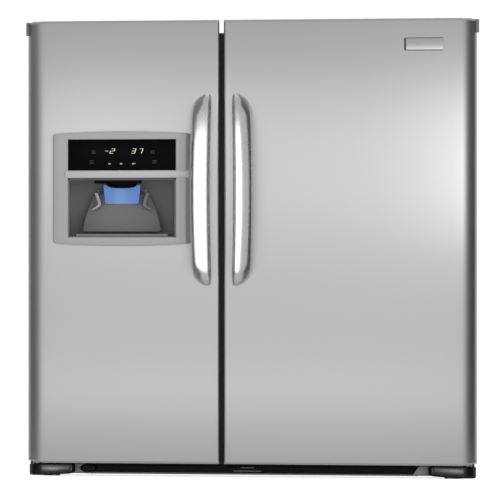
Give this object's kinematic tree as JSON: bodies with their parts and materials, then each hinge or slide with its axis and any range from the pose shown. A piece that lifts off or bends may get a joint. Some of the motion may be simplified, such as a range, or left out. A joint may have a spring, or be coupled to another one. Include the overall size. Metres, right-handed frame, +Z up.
{
  "type": "side by side refrigerator",
  "caption": "Free-standing side by side refrigerator with a freezer door holding an ice and water dispenser, a fresh food door, bowed bar handles, drawers, shelves and door bins.",
  "frame": {"origin": "on the floor under the middle of the whole box, with the doors shut", "axes": "+Z up, -Y is the front that the doors are on, +X to the right of someone facing the doors"},
  "size_m": [0.914, 0.84, 1.765],
  "materials": {
    "door_steel": "satin brushed stainless steel, soft grain along the height",
    "handle_metal": "satin metal, softly rounded",
    "cap_plastic": "smooth silver-grey moulded plastic",
    "dispenser_plastic": "satin silver-grey painted plastic",
    "recess_plastic": "fine-textured dark grey plastic",
    "paddle_plastic": "satin mid grey plastic",
    "black_plastic": "semi-gloss black plastic",
    "display_glass": "gloss black display window",
    "plaque_metal": "bright satin plaque, blank",
    "cabinet_paint": "grey textured paint on steel",
    "galvanised_steel": "plain zinc-coated steel sheet",
    "chassis_steel": "black chassis paint",
    "hinge_steel": "zinc-plated pressed steel",
    "liner_plastic": "glossy white thermoformed plastic",
    "seal_rubber": "soft grey magnetic seal",
    "clear_plastic": "clear moulded plastic",
    "shelf_glass": "tempered glass with a moulded rim",
    "white_plastic": "satin white moulded plastic",
    "wire_white": "white coated wire",
    "compressor_paint": "gloss black baked paint",
    "fin_aluminium": "bare aluminium fins and tube",
    "roller_nylon": "dark nylon",
    "leg_steel": "zinc-plated steel"
  },
  "bodies": {
    "cabinet": {"cabinet_shell": "cabinet_paint", "cabinet_back": "galvanised_steel", "freezer_liner": "liner_plastic", "fridge_liner": "liner_plastic", "base_frame": "chassis_steel", "toe_grille": "black_plastic", "foot_pods": "black_plastic", "bottom_hinges": "hinge_steel", "top_hinges": "hinge_steel", "hinge_covers": "cap_plastic", "compressor": "compressor_paint", "condenser": "chassis_steel", "drain_pan": "recess_plastic", "machine_cover": "galvanised_steel", "evaporator": "fin_aluminium", "evaporator_cover": "white_plastic", "control_housing": "white_plastic", "inlet_valve": "white_plastic", "glass_shelves": "shelf_glass", "freezer_shelves": "wire_white", "ice_maker": "white_plastic"},
    "freezer_door": {"freezer_door_skin": "door_steel", "freezer_door_liner": "liner_plastic", "freezer_door_gasket": "seal_rubber", "freezer_door_caps": "cap_plastic", "freezer_handle": "handle_metal", "dispenser_bezel": "dispenser_plastic", "dispenser_rail": "dispenser_plastic", "dispenser_cavity": "recess_plastic", "display_panel": "display_glass", "ice_chute": "black_plastic"},
    "fridge_door": {"fridge_door_skin": "door_steel", "fridge_door_liner": "liner_plastic", "fridge_door_gasket": "seal_rubber", "fridge_door_caps": "cap_plastic", "fridge_handle": "handle_metal", "badge_plaque": "plaque_metal"},
    "condenser_fan": {"condenser_fan": "black_plastic"},
    "evaporator_fan": {"evaporator_fan": "white_plastic"},
    "feeler_arm": {"feeler_arm": "leg_steel"},
    "ice_bin": {"ice_bin": "clear_plastic"},
    "auger": {"auger": "leg_steel"},
    "water_filter": {"water_filter": "black_plastic"},
    "crisper_upper": {"crisper_upper": "clear_plastic"},
    "crisper_lower": {"crisper_lower": "clear_plastic"},
    "humidity_slider": {"humidity_slider": "white_plastic"},
    "deli_drawer": {"deli_drawer": "clear_plastic"},
    "freezer_basket": {"freezer_basket": "white_plastic"},
    "levelling_leg_left": {"levelling_leg_left": "leg_steel"},
    "levelling_leg_right": {"levelling_leg_right": "leg_steel"},
    "roller_left": {"roller_left": "roller_nylon"},
    "roller_right": {"roller_right": "roller_nylon"},
    "freezer_bin_lower": {"freezer_bin_lower": "clear_plastic"},
    "freezer_bin_upper": {"freezer_bin_upper": "clear_plastic"},
    "paddle": {"paddle": "paddle_plastic"},
    "chute_flap": {"chute_flap": "black_plastic"},
    "drip_tray": {"drip_tray": "paddle_plastic"},
    "gallon_bin": {"gallon_bin": "clear_plastic"},
    "middle_bin": {"middle_bin": "clear_plastic"},
    "dairy_lid": {"dairy_lid": "clear_plastic"}
  },
  "joints": [
    {"name": "freezer_door_hinge", "type": "hinge", "parent": "cabinet", "child": "freezer_door", "pos_m": [-0.434, -0.322, 0.9], "axis": [0, 0, -1], "range_deg": [0, 115]},
    {"name": "fridge_door_hinge", "type": "hinge", "parent": "cabinet", "child": "fridge_door", "pos_m": [0.434, -0.322, 0.9], "axis": [0, 0, 1], "range_deg": [0, 115]},
    {"name": "freezer_bin_lower_lift", "type": "slide", "parent": "freezer_door", "child": "freezer_bin_lower", "axis": [0, 0, 1], "range_m": [0, 0.03]},
    {"name": "freezer_bin_upper_lift", "type": "slide", "parent": "freezer_door", "child": "freezer_bin_upper", "axis": [0, 0, 1], "range_m": [0, 0.03]},
    {"name": "paddle_hinge", "type": "hinge", "parent": "freezer_door", "child": "paddle", "pos_m": [-0.2615, -0.25, 1.108], "axis": [1, 0, 0], "range_deg": [0, 12], "stiffness_Nm_per_rad": 0.25, "springref_deg": -20.05},
    {"name": "chute_flap_hinge", "type": "hinge", "parent": "freezer_door", "child": "chute_flap", "pos_m": [-0.2615, -0.262, 1.21], "axis": [1, 0, 0], "range_deg": [0, 60]},
    {"name": "drip_tray_slide", "type": "slide", "parent": "freezer_door", "child": "drip_tray", "axis": [0, -1, 0], "range_m": [0, 0.08]},
    {"name": "gallon_bin_lift", "type": "slide", "parent": "fridge_door", "child": "gallon_bin", "axis": [0, 0, 1], "range_m": [0, 0.03]},
    {"name": "middle_bin_lift", "type": "slide", "parent": "fridge_door", "child": "middle_bin", "axis": [0, 0, 1], "range_m": [0, 0.03]},
    {"name": "dairy_lid_hinge", "type": "hinge", "parent": "fridge_door", "child": "dairy_lid", "pos_m": [0.2, -0.204, 1.488], "axis": [1, 0, 0], "range_deg": [0, 90]},
    {"name": "ice_bin_slide", "type": "slide", "parent": "cabinet", "child": "ice_bin", "axis": [0, -1, 0], "range_m": [0, 0.0075]},
    {"name": "auger_spin", "type": "hinge", "parent": "ice_bin", "child": "auger", "pos_m": [-0.247, 0, 1.395], "axis": [0, 1, 0], "continuous": true},
    {"name": "feeler_arm_hinge", "type": "hinge", "parent": "cabinet", "child": "feeler_arm", "pos_m": [-0.19, -0.04, 1.57], "axis": [-1, 0, 0], "range_deg": [0, 40]},
    {"name": "water_filter_turn", "type": "hinge", "parent": "cabinet", "child": "water_filter", "pos_m": [-0.331, -0.3, 0.03], "axis": [0, -1, 0], "range_deg": [0, 90]},
    {"name": "crisper_upper_slide", "type": "slide", "parent": "cabinet", "child": "crisper_upper", "axis": [0, -1, 0], "range_m": [0, 0.05]},
    {"name": "crisper_lower_slide", "type": "slide", "parent": "cabinet", "child": "crisper_lower", "axis": [0, -1, 0], "range_m": [0, 0.05]},
    {"name": "humidity_slide", "type": "slide", "parent": "cabinet", "child": "humidity_slider", "axis": [1, 0, 0], "range_m": [0, 0.06]},
    {"name": "deli_drawer_slide", "type": "slide", "parent": "cabinet", "child": "deli_drawer", "axis": [0, -1, 0], "range_m": [0, 0.05]},
    {"name": "freezer_basket_slide", "type": "slide", "parent": "cabinet", "child": "freezer_basket", "axis": [0, -1, 0], "range_m": [0, 0.05]},
    {"name": "levelling_leg_left_turn", "type": "hinge", "parent": "cabinet", "child": "levelling_leg_left", "pos_m": [-0.405, -0.27, 0.04], "axis": [0, 0, 1], "continuous": true},
    {"name": "levelling_leg_right_turn", "type": "hinge", "parent": "cabinet", "child": "levelling_leg_right", "pos_m": [0.405, -0.27, 0.04], "axis": [0, 0, 1], "continuous": true},
    {"name": "roller_left_spin", "type": "hinge", "parent": "cabinet", "child": "roller_left", "pos_m": [-0.415, 0.35, 0.02], "axis": [1, 0, 0], "continuous": true},
    {"name": "roller_right_spin", "type": "hinge", "parent": "cabinet", "child": "roller_right", "pos_m": [0.415, 0.35, 0.02], "axis": [1, 0, 0], "continuous": true},
    {"name": "condenser_fan_spin", "type": "hinge", "parent": "cabinet", "child": "condenser_fan", "pos_m": [0.084, 0.25, 0.17], "axis": [1, 0, 0], "continuous": true},
    {"name": "evaporator_fan_spin", "type": "hinge", "parent": "cabinet", "child": "evaporator_fan", "pos_m": [-0.24225, 0.252, 1], "axis": [0, 1, 0], "continuous": true}
  ],
  "couplings": [
    {"joint": "chute_flap_hinge", "follows": "paddle_hinge", "ratio": 5}
  ]
}
